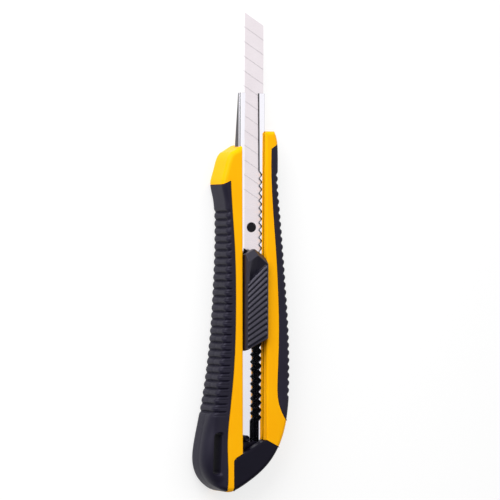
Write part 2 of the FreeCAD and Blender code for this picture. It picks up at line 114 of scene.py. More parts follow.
class Path:
    """Smooth plan curve through points, sampled finely, with its arc length."""

    def __init__(self, points, smooth=True, samples=3000):
        points = np.array(points, float)
        knots = np.concatenate([[0.0], np.cumsum(np.linalg.norm(np.diff(points, axis=0), axis=1))])
        at = np.linspace(0.0, knots[-1], samples)
        if smooth:
            self.points = self.cubic(points, knots, at)
        else:
            self.points = np.stack([np.interp(at, knots, points[:, axis]) for axis in range(2)], axis=1)
        steps = np.linalg.norm(np.diff(self.points, axis=0), axis=1)
        self.length_at = np.concatenate([[0.0], np.cumsum(steps)])

    @staticmethod
    def end_slope(points, knots):
        """Slope at the first of four points, of the cubic through them."""
        slope = np.zeros(2)
        for i in range(4):
            others = [j for j in range(4) if j != i]
            denominator = np.prod([knots[i] - knots[j] for j in others])
            numerator = sum(
                np.prod([knots[0] - knots[j] for j in others if j != skipped]) for skipped in others)
            slope += points[i] * numerator / denominator
        return slope

    @classmethod
    def cubic(cls, points, knots, at):
        count = len(points)
        spans = np.diff(knots)
        matrix, wanted = np.zeros((count, count)), np.zeros((count, 2))
        matrix[0, 0] = matrix[-1, -1] = 1.0
        wanted[0] = cls.end_slope(points[:4], knots[:4])
        wanted[-1] = -cls.end_slope(points[::-1][:4], knots[-1] - knots[::-1][:4])
        for i in range(1, count - 1):
            before, after = spans[i - 1], spans[i]
            matrix[i, i - 1:i + 2] = 1.0 / before, 2.0 / before + 2.0 / after, 1.0 / after
            step_in, step_out = points[i] - points[i - 1], points[i + 1] - points[i]
            wanted[i] = 3.0 * (step_in / before ** 2 + step_out / after ** 2)
        slopes = np.linalg.solve(matrix, wanted)
        index = np.clip(np.searchsorted(knots, at, side="right") - 1, 0, count - 2)
        span = spans[index][:, None]
        t = (at - knots[index])[:, None] / span
        from_start, from_end = 2 * t ** 3 - 3 * t ** 2 + 1, 3 * t ** 2 - 2 * t ** 3
        start_slope, end_slope = (t ** 3 - 2 * t ** 2 + t) * span, (t ** 3 - t ** 2) * span
        return (from_start * points[index] + start_slope * slopes[index]
                + from_end * points[index + 1] + end_slope * slopes[index + 1])

    def at_length(self, length):
        columns = [np.interp(length, self.length_at, self.points[:, axis]) for axis in range(2)]
        return np.stack(columns, axis=-1)

    def tangent_at(self, length):
        step = self.at_length(length + TANGENT_STEP) - self.at_length(length - TANGENT_STEP)
        return step / np.linalg.norm(step, axis=-1, keepdims=True)

    def length_of(self, test):
        """Arc length where a test on the samples first becomes true."""
        return self.length_at[np.nonzero(test(self.points))[0][0]]

    def cut(self, start, end):
        part = Path.__new__(Path)
        inside = (self.length_at > start) & (self.length_at < end)
        part.points = np.vstack([self.at_length(start), self.points[inside], self.at_length(end)])
        steps = np.linalg.norm(np.diff(part.points, axis=0), axis=1)
        part.length_at = np.concatenate([[0.0], np.cumsum(steps)])
        return part


def crossing(path, other):
    """Arc length along a path of the place where it comes nearest to another path."""
    gaps = np.linalg.norm(path.points[:, None, :] - other.points[None, ::4, :], axis=2).min(axis=1)
    return path.length_at[int(np.argmin(gaps))]


def smooth_step(value, low, high):
    t = np.clip((value - low) / (high - low), 0.0, 1.0)
    return t * t * (3.0 - 2.0 * t)


# ---------------------------------------------------------------- meshes

SMOOTH_ANGLE = 35.0
WELD_DISTANCE = 0.000001


def new_object(name, vertices, faces, smooth_angle=SMOOTH_ANGLE):
    """Mesh object from points in millimetres, with smooth shading below an edge angle."""
    mesh = bpy.data.meshes.new(name)
    mesh.from_pydata((ORIGIN + np.asarray(vertices) * MM).tolist(), [], faces)
    tidy = bmesh.new()
    tidy.from_mesh(mesh)
    bmesh.ops.remove_doubles(tidy, verts=tidy.verts, dist=WELD_DISTANCE)
    bmesh.ops.recalc_face_normals(tidy, faces=tidy.faces)
    shade(tidy, smooth_angle)
    tidy.to_mesh(mesh)
    tidy.free()
    obj = bpy.data.objects.new(name, mesh)
    bpy.context.scene.collection.objects.link(obj)
    return obj


def shade(tidy, smooth_angle):
    limit = math.radians(smooth_angle)
    for face in tidy.faces:
        face.smooth = True
    for edge in tidy.edges:
        edge.smooth = not (len(edge.link_faces) == 2 and edge.calc_face_angle(0.0) > limit)


def ring_faces(stations, around):
    """Quads between neighbouring closed rings, and a polygon over each end."""
    faces = []
    for s in range(stations - 1):
        low, high = s * around, (s + 1) * around
        for i in range(around):
            j = (i + 1) % around
            faces.append((low + i, low + j, high + j, high + i))
    faces.append(tuple(range(around)))
    faces.append(tuple(range((stations - 1) * around, stations * around)))
    return faces


def cut_away(obj, cutter):
    """Takes one closed mesh out of another, and removes the cutter."""
    modifier = obj.modifiers.new("cut", "BOOLEAN")
    modifier.operation = "DIFFERENCE"
    modifier.object = cutter
    modifier.solver = "EXACT"
    bpy.context.view_layer.update()
    evaluated = obj.evaluated_get(bpy.context.evaluated_depsgraph_get())
    mesh = bpy.data.meshes.new_from_object(evaluated)
    obj.modifiers.clear()
    obj.data = mesh
    mesh.name = obj.name
    tidy = bmesh.new()
    tidy.from_mesh(mesh)
    bmesh.ops.remove_doubles(tidy, verts=tidy.verts, dist=WELD_DISTANCE)
    shade(tidy, SMOOTH_ANGLE)
    tidy.to_mesh(mesh)
    tidy.free()
    bpy.data.objects.remove(cutter)
    return obj


FRONT_STEPS = 16
CORNER_STEPS = 8
WALL_STEPS = 12
BACK_STEPS = 4
SEAM_STEPS = 4
SEAM_SHARE = 0.3
CORNER_SHARE = 0.9
LEAST_SQUARE = 0.35
FALL_HEIGHT = 6.0


def section(depth, seam_radius, front_r, front_drop, back_r, top):
    """One closed section of a grip or cap, in rows of (distance from the seam, height, share on the
    front face, share on the side wall, outward direction across, outward direction in height).

    It runs from the seam over the front face, round the front corner, down the side wall,
    round the back corner and along the back to the seam again."""
    rows = []
    seam_radius = min(seam_radius, SEAM_SHARE * depth)
    front_reach = min(front_r, CORNER_SHARE * (depth - seam_radius))
    back_reach = min(back_r, CORNER_SHARE * (depth - seam_radius))
    front_angle = math.acos(max(-1.0, 1.0 - front_reach / front_r))
    back_angle = math.acos(max(-1.0, 1.0 - back_reach / back_r))
    quarter = math.pi / 2.0
    for k in range(SEAM_STEPS + 1):
        a = quarter * k / SEAM_STEPS
        rows.append((seam_radius * (1 - math.cos(a)), top - seam_radius * (1 - math.sin(a)),
                     1.0, 0.0, -math.cos(a), math.sin(a)))
    flat_end = depth - front_reach
    for k in range(1, FRONT_STEPS):
        d = seam_radius + (flat_end - seam_radius) * k / FRONT_STEPS
        rows.append((d, top, 1.0, 0.0, 0.0, 1.0))
    for k in range(CORNER_STEPS + 1):
        a = front_angle * (1.0 - k / CORNER_STEPS)
        side = 1.0 - a / quarter
        rows.append((depth - front_r * (1 - math.cos(a)), top - front_drop * (1 - math.sin(a)),
                     1.0 - side, side, math.cos(a), math.sin(a)))
    wall_top, wall_bottom = top - front_drop, BACK_FILLET
    for k in range(1, WALL_STEPS):
        rows.append((depth, wall_top + (wall_bottom - wall_top) * k / WALL_STEPS, 0.0, 1.0, 1.0, 0.0))
    for k in range(CORNER_STEPS + 1):
        a = back_angle * k / CORNER_STEPS
        rows.append((depth - back_r * (1 - math.cos(a)), BACK_FILLET * (1 - math.sin(a)),
                     0.0, 1.0 - a / quarter, math.cos(a), -math.sin(a)))
    back_end = depth - back_reach
    for k in range(1, BACK_STEPS):
        rows.append((back_end + (seam_radius - back_end) * k / BACK_STEPS, 0.0, 0.0, 0.0, 0.0, -1.0))
    for k in range(SEAM_STEPS + 1):
        a = quarter * (1.0 - k / SEAM_STEPS)
        rows.append((seam_radius * (1 - math.cos(a)), seam_radius * (1 - math.sin(a)),
                     0.0, 0.0, -math.cos(a), -math.sin(a)))
    return np.array(rows)


def ribbon(name, pairs, seam_radius, carve=None, soften=None):
    """Solid between a seam and the handle's outline: pairs are (seam point, outline point, outline tangent,
    inset) stations; carve gives how far each surface point is pressed in, and soften how much larger the
    front corner is."""
    rings = []
    for seam_point, edge_point, tangent, inset in pairs:
        across = edge_point - seam_point
        depth = np.linalg.norm(across)
        across = across / depth
        square = max(LEAST_SQUARE, abs(across[0] * tangent[1] - across[1] * tangent[0]))
        top = front_z(edge_point[1])
        drop = FRONT_FILLET if soften is None else FRONT_FILLET + soften(*edge_point)
        rows = section(depth, seam_radius, drop / square, drop, BACK_FILLET / square, top)
        d, z, _, _, out_d, out_z = rows.T
        press = np.full(len(d), inset)
        if carve is not None:
            press = press + carve(seam_point, across, rows)
        d = d - out_d * press
        z = z - out_z * press
        plan = seam_point[None, :] + across[None, :] * d[:, None]
        share = np.clip((z - BACK_FILLET) / FALL_HEIGHT, 0.0, 1.0)
        z = z + FRONT_FALL * (edge_point[1] - plan[:, 1]) * share
        rings.append(np.column_stack([plan, z]))
    vertices = np.vstack(rings)
    return new_object(name, vertices, ring_faces(len(rings), len(rings[0])))


def end_insets(count, radius):
    """Inward steps that round off the end of a ribbon: (distance from the end, inset)."""
    angles = [math.pi / 2.0 * k / count for k in range(count + 1)]
    return [(radius * (1 - math.cos(a)), radius * (1 - math.sin(a))) for a in angles]


# ---------------------------------------------------------------- the two grips

SEAM_RADIUS = 0.32
FINGER_RIBS = (27, 94.9, 27.5)
PALM_RIBS = (30, 107.9, 33.2)
RIB_SAMPLES = 20

handle = Path(HANDLE_CURVE, samples=6000)
HEEL_LOW = handle.length_at[int(np.argmin(handle.points[:, 1]))]


def left_length(y):
    """Arc length of the outline's finger side at height y."""
    inside = handle.length_at <= HEEL_LOW
    return np.interp(-y, -handle.points[inside, 1], handle.length_at[inside])


def right_length(y):
    inside = handle.length_at >= HEEL_LOW
    return np.interp(y, handle.points[inside, 1], handle.length_at[inside])


def rib_wave(y, ribs, skew=0.0):
    """Phase within a rib, from -0.5 to 0.5 with the groove at 0, and whether ribs are there at all."""
    count, top, bottom = ribs
    pitch = (top - bottom) / (count - 1)
    turn = (top - y) / pitch
    present = (turn > -0.5) & (turn < count - 0.5)
    phase = (turn + 0.5) % 1.0 - 0.5
    return phase + skew * (0.25 - phase * phase), present


def notch(value, centre, half_width):
    """V-shaped line, 1 deep at its centre."""
    return np.clip(1.0 - abs(value - centre) / half_width, 0.0, 1.0)


SMOOTH_STRIP = 1.6
STRIP_BLEND = 0.15
SIDE_GROOVE = 0.62
SIDE_LINES = 0.4
FRONT_GROOVE, FRONT_GROOVE_HALF = 0.34, 0.13
SECOND_GROOVE, SECOND_GROOVE_HALF = 0.14, 0.06
SECOND_GROOVE_PHASES = (0.42, -0.58)
PARTING_Z, PARTING_DEPTH, PARTING_HALF = 6.4, 0.12, 0.3
FINGER_SHARPNESS, PALM_SHARPNESS = 1.5, 1.3
PALM_SKEW = -0.5
HEEL_ROUNDING = 2.6
HEEL_FADE_Y = (20.0, 33.0)
HEEL_FADE_X = (-15.8, -13.0)
TOP_STEP = 0.6
TOP_ROUNDING_STEPS = 5
FINGER_TOP_EDGE, FINGER_TOP_SEAM, FINGER_LEVEL = 104.2, 105.5, 96.5
FINGER_FAN_Y, FINGER_FAN_STEPS = 23.0, 80
FINGER_FAN_EDGE, FINGER_FAN_SEAM = 0.985, 0.97
PALM_TOP_EDGE, PALM_TOP_SEAM, PALM_LEVEL = 118.6, 116.5, 110.5
PALM_END_GAP = 0.35


def finger_carve(seam_point, across, rows):
    """Ribs and a parting line on the finger grip."""
    d, z, on_front, on_side, _, _ = rows.T
    y = seam_point[1] + across[1] * d
    phase, present = rib_wave(y, FINGER_RIBS)
    groove = (0.5 + 0.5 * np.cos(2.0 * math.pi * phase)) ** FINGER_SHARPNESS
    lines = FRONT_GROOVE * notch(phase, 0.0, FRONT_GROOVE_HALF)
    for second in SECOND_GROOVE_PHASES:
        lines = lines + SECOND_GROOVE * notch(phase, second, SECOND_GROOVE_HALF)
    front = on_front * lines * smooth_step(d, SMOOTH_STRIP - STRIP_BLEND, SMOOTH_STRIP + STRIP_BLEND)
    side = on_side * (SIDE_GROOVE * groove + SIDE_LINES * lines)
    parting = PARTING_DEPTH * notch(z, PARTING_Z, PARTING_HALF) * (on_side > 0.99)
    return np.where(present, front + side, 0.0) + parting


def palm_carve(seam_point, across, rows):
    """Ribs on the palm grip's outer edge."""
    d, on_side = rows[:, 0], rows[:, 3]
    y = seam_point[1] + across[1] * d
    phase, present = rib_wave(y, PALM_RIBS, PALM_SKEW)
    groove = (0.5 + 0.5 * np.cos(2.0 * math.pi * phase)) ** PALM_SHARPNESS
    return np.where(present, np.sqrt(np.clip(on_side, 0.0, 1.0)) * SIDE_GROOVE * groove, 0.0)


def graded(high, low, ribs, plain_step):
    """Heights from high to low: close together where there are ribs, wider apart elsewhere."""
    count, top, bottom = ribs
    pitch = (top - bottom) / (count - 1)
    first, last = top + 0.5 * pitch, bottom - 0.5 * pitch
    upper = np.linspace(high, first, max(2, int((high - first) / plain_step)), endpoint=False)
    ribbed = np.linspace(first, last, count * RIB_SAMPLES + 1)
    lower = np.linspace(last, low, max(2, int((last - low) / plain_step)) + 1)[1:]
    return np.concatenate([upper, ribbed, lower])


def heel_softness(x, y):
    """Extra rounding of the grip's front corner towards the heel, fading out along its underside."""
    return HEEL_ROUNDING * (1.0 - smooth_step(y, *HEEL_FADE_Y)) * (1.0 - smooth_step(x, *HEEL_FADE_X))


def station(seam, edge_length, seam_y, inset):
    """One cross-section's place: from a height on the seam to a place on the handle's outline."""
    seam_length = np.interp(-seam_y, -seam.points[:, 1], seam.length_at)
    return (seam.at_length(seam_length), handle.at_length(edge_length), handle.tangent_at(edge_length), inset)


def straight_stations(seam, edge_length_of, top_edge, top_seam, level, low, ribs, plain_step):
    """Stations from a grip's slanted, rounded top end down to a height."""
    pairs = []
    for back, inset in end_insets(TOP_ROUNDING_STEPS, SEAM_RADIUS):
        edge_length = edge_length_of(top_edge - INSET - back)
        pairs.append(station(seam, edge_length, top_seam - INSET - back, inset + INSET))
    for y in graded(top_edge - TOP_STEP, low, ribs, plain_step):
        skew = (top_seam - top_edge) * smooth_step(y, level, top_edge)
        pairs.append(station(seam, edge_length_of(y), y + skew, INSET))
    return pairs


def finger_grip():
    seam = Path(FINGER_SEAM)
    pairs = straight_stations(seam, left_length, FINGER_TOP_EDGE, FINGER_TOP_SEAM, FINGER_LEVEL, FINGER_FAN_Y,
                              FINGER_RIBS, 0.5)
    edge_start = left_length(FINGER_FAN_Y)
    edge_run = (crossing(handle.cut(0.0, HEEL_LOW), seam) - edge_start) * FINGER_FAN_EDGE
    seam_run = (seam.at_length(crossing(seam, handle))[1] - FINGER_FAN_Y) * FINGER_FAN_SEAM
    for k in range(1, FINGER_FAN_STEPS + 1):
        f = k / FINGER_FAN_STEPS
        pairs.append(station(seam, edge_start + edge_run * f, FINGER_FAN_Y + seam_run * f, INSET))
    return ribbon("finger_grip_rubber", pairs, SEAM_RADIUS, finger_carve, heel_softness)


def palm_grip():
    seam = Path(PALM_SEAM)
    end_y = handle.at_length(crossing(handle.cut(HEEL_LOW, handle.length_at[-1]), seam) + HEEL_LOW)[1]
    pairs = straight_stations(seam, right_length, PALM_TOP_EDGE, PALM_TOP_SEAM, PALM_LEVEL,
                              end_y + PALM_END_GAP, PALM_RIBS, 0.25)
    return ribbon("palm_grip_rubber", pairs, SEAM_RADIUS, palm_carve)


LANYARD_Y = (6.6, 20.4)
LANYARD_HALF = 1.45
LANYARD_END = 1.3
LANYARD_FLARE = 0.7
LANYARD_ROUND = 0.62
LANYARD_CENTRE = (-14.55, -0.75, 1.3)
LANYARD_POINTS = 64
FLARE_STEPS = 6


def squarish(value):
    """Pushes a cosine or sine outwards, so that a circle becomes a rounded square."""
    return math.copysign(abs(value) ** LANYARD_ROUND, value)


def lanyard_cutter():
    """Slightly curved slot whose squarish ends and sides flare out towards the front and the back face."""
    face = front_z(sum(LANYARD_Y) / 2.0)
    levels = [(face + 1.0, LANYARD_FLARE + 0.3)]
    for k in range(FLARE_STEPS + 1):
        a = math.pi / 2.0 * k / FLARE_STEPS
        levels.append((face - LANYARD_FLARE * math.sin(a), LANYARD_FLARE * (1 - math.sin(a)) ** 1.5))
    levels += [(face - z, flare) for z, flare in reversed(levels)]
    length = LANYARD_Y[1] - LANYARD_Y[0]
    straight = length / 2.0 - LANYARD_END
    around = [2.0 * math.pi * k / LANYARD_POINTS for k in range(LANYARD_POINTS)]
    outline = [(squarish(math.cos(a)), squarish(math.sin(a))) for a in around]
    rings = []
    for z, flare in levels:
        for x, y in outline:
            slot_y = sum(LANYARD_Y) / 2.0 + y * (LANYARD_END + flare) + math.copysign(straight, y)
            t = (slot_y - LANYARD_Y[0]) / length
            centre = LANYARD_CENTRE[0] + LANYARD_CENTRE[1] * t + LANYARD_CENTRE[2] * t * t
            rings.append((centre + x * (LANYARD_HALF + flare), slot_y, z))
    return new_object("lanyard_cutter", rings, ring_faces(len(levels), len(outline)))


# ---------------------------------------------------------------- end cap

CAP_EDGE_RADIUS = 0.3
CAP_LEFT = -8.18
CAP_TOP = [(-7.95, 11.1), (-7.28, 11.88), (3.32, 17.38), (4.0, 17.55), (4.72, 17.52), (10.72, 14.48)]
CAP_SHOULDER_Y = 10.88
CAP_STEPS = 160
CAP_END_SHARE = 0.008
TAIL_START = 15.0
CAP_ROOM = ((-5.15, 5.15), (11.88, 60.0), (5.75, 9.45))
TONGUE = ((-4.5, 4.5), (10.0, 17.0), (6.31, 7.9))
STALK = ((-2.6, -0.6), (11.0, 17.9), (6.31, 8.3))
NUB_CENTRE = (-1.6, 18.1)
NUB_PROFILE = [(0.9, 6.31), (1.1, 6.5), (1.14, 8.8), (1.08, 9.1), (0.94, 9.26), (0.78, 9.3), (0.6, 9.2),
               (0.4, 9.0), (0.2, 8.95)]
NUB_POINTS = 48


def end_cap():
    low = handle.length_of(lambda p: (p[:, 0] > CAP_LEFT) & (p[:, 1] < 8.0))
    start = handle.at_length(low)
    inner = Path([(CAP_LEFT, start[1]), (CAP_LEFT, CAP_SHOULDER_Y)] + CAP_TOP, smooth=False, samples=4000)
    lower = handle.cut(low, right_length(30.0))
    inner_tail = inner.cut(TAIL_START, inner.length_at[-1])
    meet_inner = TAIL_START + crossing(inner_tail, lower)
    meet_lower = crossing(lower, inner_tail)
    pairs = []
    for k in range(CAP_STEPS + 1):
        f = CAP_END_SHARE + (1.0 - 2.0 * CAP_END_SHARE) * k / CAP_STEPS
        edge_length = low + meet_lower * f
        pairs.append((inner.at_length(meet_inner * f), handle.at_length(edge_length),
                      handle.tangent_at(edge_length), INSET))
    return ribbon("end_cap_body", pairs, CAP_EDGE_RADIUS)


def block(name, ranges, radius):
    """Rounded block between low and high values along X, Y and Z."""
    mesh = bpy.data.meshes.new(name)
    tidy = bmesh.new()
    bmesh.ops.create_cube(tidy, size=1.0)
    for vertex in tidy.verts:
        vertex.co = place(*[(low + high) / 2.0 + share * (high - low)
                            for (low, high), share in zip(ranges, vertex.co)])
    if radius > 0.0:
        bmesh.ops.bevel(tidy, geom=tidy.edges[:], offset=radius * MM, segments=3, profile=0.5,
                        affect="EDGES", clamp_overlap=True)
    shade(tidy, 50.0)
    tidy.to_mesh(mesh)
    tidy.free()
    obj = bpy.data.objects.new(name, mesh)
    bpy.context.scene.collection.objects.link(obj)
    return obj


def turned(name, centre, profile):
    """Solid of revolution about an upright axis; profile lists (radius, height) upwards."""
    rings = []
    for radius, z in profile:
        for k in range(NUB_POINTS):
            a = 2.0 * math.pi * k / NUB_POINTS
            rings.append((centre[0] + radius * math.cos(a), centre[1] + radius * math.sin(a), z))
    return new_object(name, rings, ring_faces(len(profile), NUB_POINTS))


# ---------------------------------------------------------------- thumb button

BUTTON_HALF = 4.25
BUTTON_LOW = 48.0
BUTTON_SLANT = 0.48
BUTTON_Z0 = 10.4
BUTTON_Z1 = 13.5
BUTTON_TOP_GAP = 0.05
BUTTON_RIM = 0.35
BUTTON_GRID = (90, 330)
BUTTON_RIBS = 12
FIRST_RIB = (73.0, 0.87)
LAST_RIB = (51.75, 0.55)
RIB_HEIGHT = 0.45
RIB_SHARPNESS = 1.3
RIDGE_PEAK = (0.1, 80.3)
LEFT_FACET = (-0.54, 0.84, 0.36)
RIGHT_FACET = (0.6, 0.8, 1.0)
DISH_SLOPE = 0.3
DISH_LIMIT = 1.75
CHAMFER_X = -3.4
CHAMFER_SLOPE = 1.25
NOSE = [(-4.25, 80.55), (-0.75, 82.38), (-0.35, 82.45), (0.2, 82.1), (0.9, 81.65), (1.8, 81.15), (2.8, 80.55),
        (3.45, 80.0), (3.9, 79.3), (4.15, 78.5), (4.25, 77.8)]
POST_X = (-2.3, 2.0)
POST_Y = (59.0, 75.0)
POST_HALF = 1.6
POST_Z = (8.0, 10.6)
PAWL_PAD = (POST_X, (61.6, 72.4), (9.4, 10.6))


def button_foot(x):
    return BUTTON_LOW + BUTTON_SLANT * (x + BUTTON_HALF)


def button_nose(x):
    return np.interp(x, [p[0] for p in NOSE], [p[1] for p in NOSE])


def beyond(x, y, facet):
    """Drop of a facet that starts at the ridge's peak and falls away in one direction."""
    return facet[2] * ((x - RIDGE_PEAK[0]) * facet[0] + (y - RIDGE_PEAK[1]) * facet[1])


def facet_edge(x, facet):
    """Height on the plan of the line where a facet starts."""
    return RIDGE_PEAK[1] - (x - RIDGE_PEAK[0]) * facet[0] / facet[1]


def soft_max(a, b, width):
    return 0.5 * (a + b + np.sqrt((a - b) ** 2 + width ** 2))


def button_height(x, y):
    """Height of the thumb button's top over the plan: nose facets, thumb dish and fanned ribs."""
    first = FIRST_RIB[0] + FIRST_RIB[1] * x
    last = LAST_RIB[0] + LAST_RIB[1] * x
    pitch = (first - last) / (BUTTON_RIBS - 1)
    turn = (first - y) / pitch
    valley = 0.5 - 0.5 * np.cos(2.0 * math.pi * turn)
    above_last = 1.0 - smooth_step(turn, BUTTON_RIBS - 0.55, BUTTON_RIBS - 0.42)
    inside = smooth_step(turn, -0.55, -0.5) * above_last
    across = smooth_step(x, -3.7, -3.3) * (1.0 - smooth_step(x, 3.45, 3.8))
    ribs = RIB_HEIGHT * valley ** RIB_SHARPNESS * inside * across

    facets = soft_max(beyond(x, y, LEFT_FACET), beyond(x, y, RIGHT_FACET), 0.05)
    facets = soft_max(facets, 0.0, 0.06)
    chamfer = CHAMFER_SLOPE * soft_max(CHAMFER_X - x, 0.0, 0.12)

    dish_start = first + 0.5 * pitch
    reach = np.clip(y - dish_start, 0.0, None)
    ridge = np.where(x < RIDGE_PEAK[0], facet_edge(x, LEFT_FACET), facet_edge(x, RIGHT_FACET))
    length = np.clip(ridge - dish_start, 0.2, None)
    depth = np.minimum(DISH_SLOPE * length, DISH_LIMIT)
    fall = np.clip(1.0 - reach / length, 0.0, 1.0)
    sides = smooth_step(x, -3.6, -1.3) * (1.0 - smooth_step(x, 3.7, 4.1))
    dish = depth * fall * sides * smooth_step(reach, 0.0, 0.25)
    return BUTTON_Z1 - BUTTON_TOP_GAP - soft_max(ribs, dish, 0.02) - soft_max(facets, chamfer, 0.05)


def eased(count, strength):
    """Even steps from 0 to 1, drawn closer together towards both ends."""
    steps = np.linspace(0.0, 1.0, count)
    return steps - strength * np.sin(2.0 * math.pi * steps)


def slider_button():
    columns, rows = BUTTON_GRID
    xs = -BUTTON_HALF + 2.0 * BUTTON_HALF * eased(columns, 0.11)
    x = np.repeat(xs[None, :], rows, axis=0)
    foot, nose = button_foot(x), button_nose(x)
    y = foot + (nose - foot) * eased(rows, 0.035)[:, None]
    rim = np.minimum.reduce([x + BUTTON_HALF, BUTTON_HALF - x, (y - foot) * 0.9, (nose - y) * 0.9])
    rim = np.clip(rim, 0.0, BUTTON_RIM)
    z = button_height(x, y) - (BUTTON_RIM - np.sqrt(BUTTON_RIM ** 2 - (BUTTON_RIM - rim) ** 2))
    vertices = np.column_stack([x.ravel(), y.ravel(), z.ravel()]).tolist()
    faces = []
    for r in range(rows - 1):
        for c in range(columns - 1):
            i = r * columns + c
            faces.append((i, i + 1, i + columns + 1, i + columns))
    border = list(range(columns))
    border += [r * columns + columns - 1 for r in range(1, rows)]
    border += [(rows - 1) * columns + c for c in range(columns - 2, -1, -1)]
    border += [r * columns for r in range(rows - 2, 0, -1)]
    upper = border
    for level in (BUTTON_RIM, 0.0):
        lower = list(range(len(vertices), len(vertices) + len(border)))
        vertices += [(vertices[i][0], vertices[i][1], BUTTON_Z0 + level) for i in border]
        for k in range(len(border)):
            j = (k + 1) % len(border)
            faces.append((upper[k], lower[k], lower[j], upper[j]))
        upper = lower
    faces.append(tuple(upper))
    return new_object("slider_button_top", vertices, faces, 42.0)


# ---------------------------------------------------------------- lock spring

SPRING_X = (-1.6, 1.6)
SPRING_Y = (62.0, 72.0)
SPRING_FOOT = 7.3
SPRING_CROWN = 8.945
SPRING_THICK = 0.25
SPRING_EDGE = 0.06
SPRING_STEPS = 40


def leaf_spring():
    """Bowed steel leaf with softened long edges."""
    middle, reach = sum(SPRING_Y) / 2.0, (SPRING_Y[1] - SPRING_Y[0]) / 2.0
    rise = SPRING_CROWN - SPRING_THICK - SPRING_FOOT
    x_low, x_high = SPRING_X
    inner_low, inner_high = x_low + SPRING_EDGE, x_high - SPRING_EDGE
    side_low, side_high = SPRING_EDGE, SPRING_THICK - SPRING_EDGE
    profile = [(x_low, side_low), (inner_low, 0.0), (inner_high, 0.0), (x_high, side_low),
               (x_high, side_high), (inner_high, SPRING_THICK), (inner_low, SPRING_THICK), (x_low, side_high)]
    rings = []
    for y in np.linspace(SPRING_Y[0], SPRING_Y[1], SPRING_STEPS + 1):
        lift = SPRING_FOOT + rise * (1.0 - ((y - middle) / reach) ** 2)
        rings += [(x, y, lift + z) for x, z in profile]
    return new_object("leaf_spring", rings, ring_faces(SPRING_STEPS + 1, len(profile)))


# ---------------------------------------------------------------- node materials

class Nodes:
    """Short hand for building one material's node tree."""

    def __init__(self, name):
        self.material = bpy.data.materials.new(name)
        self.material.use_nodes = True
        self.tree = self.material.node_tree
        self.shader = self.tree.nodes["Principled BSDF"]
        places = self.tree.nodes.new("ShaderNodeTexCoord")
        self.coordinates = places.outputs["Object"]
        self.surface = places.outputs["Normal"]

    def add(self, kind, **values):
        node = self.tree.nodes.new(kind)
        for key, value in values.items():
            setattr(node, key, value)
        return node

    def link(self, output, socket):
        self.tree.links.new(output, socket)

    def feed(self, socket, value):
        """Links an output to a socket, or gives the socket a plain value."""
        if isinstance(value, bpy.types.NodeSocket):
            self.link(value, socket)
        else:
            socket.default_value = value

    def stretched(self, scale):
        node = self.add("ShaderNodeMapping")
        node.inputs["Scale"].default_value = scale
        self.link(self.coordinates, node.inputs["Vector"])
        return node.outputs["Vector"]

    def noise(self, scale, detail, stretch=(1.0, 1.0, 1.0)):
        node = self.add("ShaderNodeTexNoise")
        self.link(self.stretched(stretch), node.inputs["Vector"])
        node.inputs["Scale"].default_value = scale
        node.inputs["Detail"].default_value = detail
        return node.outputs["Fac"]

    def ramp(self, value, low, high, start=0.0, end=1.0):
        """Maps start to end of a value onto low to high."""
        node = self.add("ShaderNodeMapRange")
        for key, number in (("From Min", start), ("From Max", end), ("To Min", low), ("To Max", high)):
            node.inputs[key].default_value = number
        self.link(value, node.inputs["Value"])
        return node.outputs["Result"]

    def mix(self, factor, first, second):
        """First colour at factor 0, second at 1."""
        node = self.add("ShaderNodeMix", data_type="RGBA")
        self.feed(node.inputs["Factor"], factor)
        self.feed(node.inputs[6], first)
        self.feed(node.inputs[7], second)
        return node.outputs[2]

    def bump(self, height, distance):
        node = self.add("ShaderNodeBump")
        node.inputs["Distance"].default_value = distance
        node.inputs["Strength"].default_value = 1.0
        self.link(height, node.inputs["Height"])
        return node.outputs["Normal"]

    def cavity(self, distance, start, end):
        """0 in narrow gaps and grooves, 1 on open faces."""
        node = self.add("ShaderNodeAmbientOcclusion", samples=8)
        node.inputs["Distance"].default_value = distance
        return self.ramp(node.outputs["AO"], 0.0, 1.0, start, end)

    def lean(self, axis, start, end):
        """0 where a face leans less than start along an axis, 1 where it leans more than end."""
        split = self.add("ShaderNodeSeparateXYZ")
        self.link(self.surface, split.inputs["Vector"])
        size = self.add("ShaderNodeMath", operation="ABSOLUTE")
        self.link(split.outputs[axis], size.inputs[0])
        return self.ramp(size.outputs["Value"], 0.0, 1.0, start, end)

    def set(self, **sockets):
        """Feeds the Principled shader's sockets, named with _ for each space."""
        for key, value in sockets.items():
            self.feed(self.shader.inputs[key.replace("_", " ")], value)


FINE_GRAIN = 9000.0
GROOVE_SHINE = 0.12
PLAIN_SHEEN = (1.0, 1.0, 1.0, 1)
BLUE_SHEEN = (0.86, 0.82, 1.0, 1)
# Occlusion reach and range for the painted shade in the rubber's rib grooves.
RIB_GROOVE_SHADE = (0.0018, 0.5, 0.92)


def moulded_plastic(name, colour, deeper, rough, grain, shine, sheen=BLUE_SHEEN, grooves=None):
    """Moulded plastic: faint tone drift, fine surface grain, uneven gloss and, where given, painted shade in
    its grooves made by cutting their gloss.
    """
    n = Nodes(name)
    # Painted shade: gloss is cut where an occlusion mask finds grooves.
    if grooves is not None:
        shine = n.ramp(n.cavity(*grooves), GROOVE_SHINE * shine, shine)
    drift = n.noise(90.0, 3.0)
    fine = n.noise(FINE_GRAIN, 2.0)
    n.set(
        Base_Color=n.mix(n.ramp(drift, 0.0, 1.0, 0.35, 0.65), colour, deeper),
        Roughness=n.ramp(n.noise(700.0, 4.0), rough - 0.05, rough + 0.07),
        Normal=n.bump(fine, grain),
        Specular_IOR_Level=shine,
        Specular_Tint=sheen)
    return n.material


